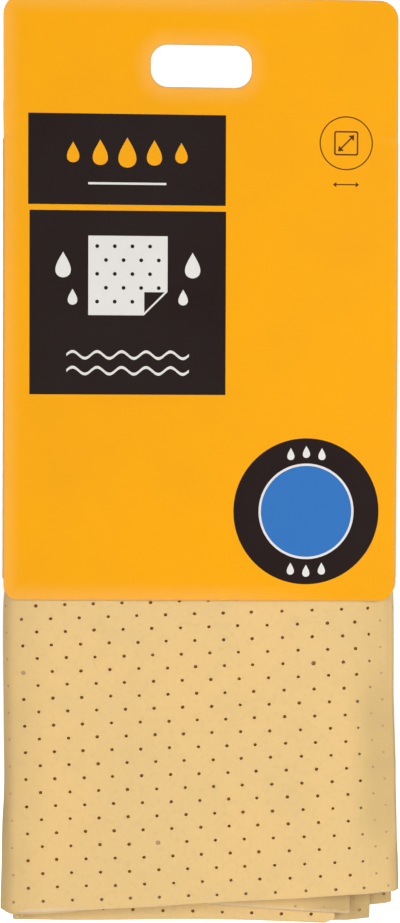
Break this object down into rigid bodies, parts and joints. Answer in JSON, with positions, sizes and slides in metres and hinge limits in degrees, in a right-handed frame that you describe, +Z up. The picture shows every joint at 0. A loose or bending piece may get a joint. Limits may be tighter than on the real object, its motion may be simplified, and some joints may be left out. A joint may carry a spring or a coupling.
{
  "type": "synthetic chamois cloth",
  "caption": "Perforated synthetic chamois drying cloth, folded into a flat packet and held in a slotted hanging card sleeve from which it slides out downwards.",
  "frame": {"origin": "middle of the hanging slot, half way through the header's two boards", "axes": "+Z up towards the top of the card, +X to the right as seen from the front, and the printed front faces -Y"},
  "size_m": [0.129, 0.0106, 0.2985],
  "materials": {
    "printed_board": "orange printed board with black panels, satin varnish, pale uncoated inside and cut edges",
    "chamois": "soft matt needled synthetic chamois, buff, with small punched holes in staggered rows",
    "paper_glue": "dried white paper glue"
  },
  "bodies": {
    "sleeve": {"card_sleeve": "printed_board", "header_glue": "paper_glue", "side_seam_glue": "paper_glue"},
    "cloth": {"chamois_cloth": "chamois"}
  },
  "joints": [
    {"name": "cloth_pull_out", "type": "slide", "parent": "sleeve", "child": "cloth", "axis": [0, 0, -1], "range_m": [0, 0.15]}
  ]
}
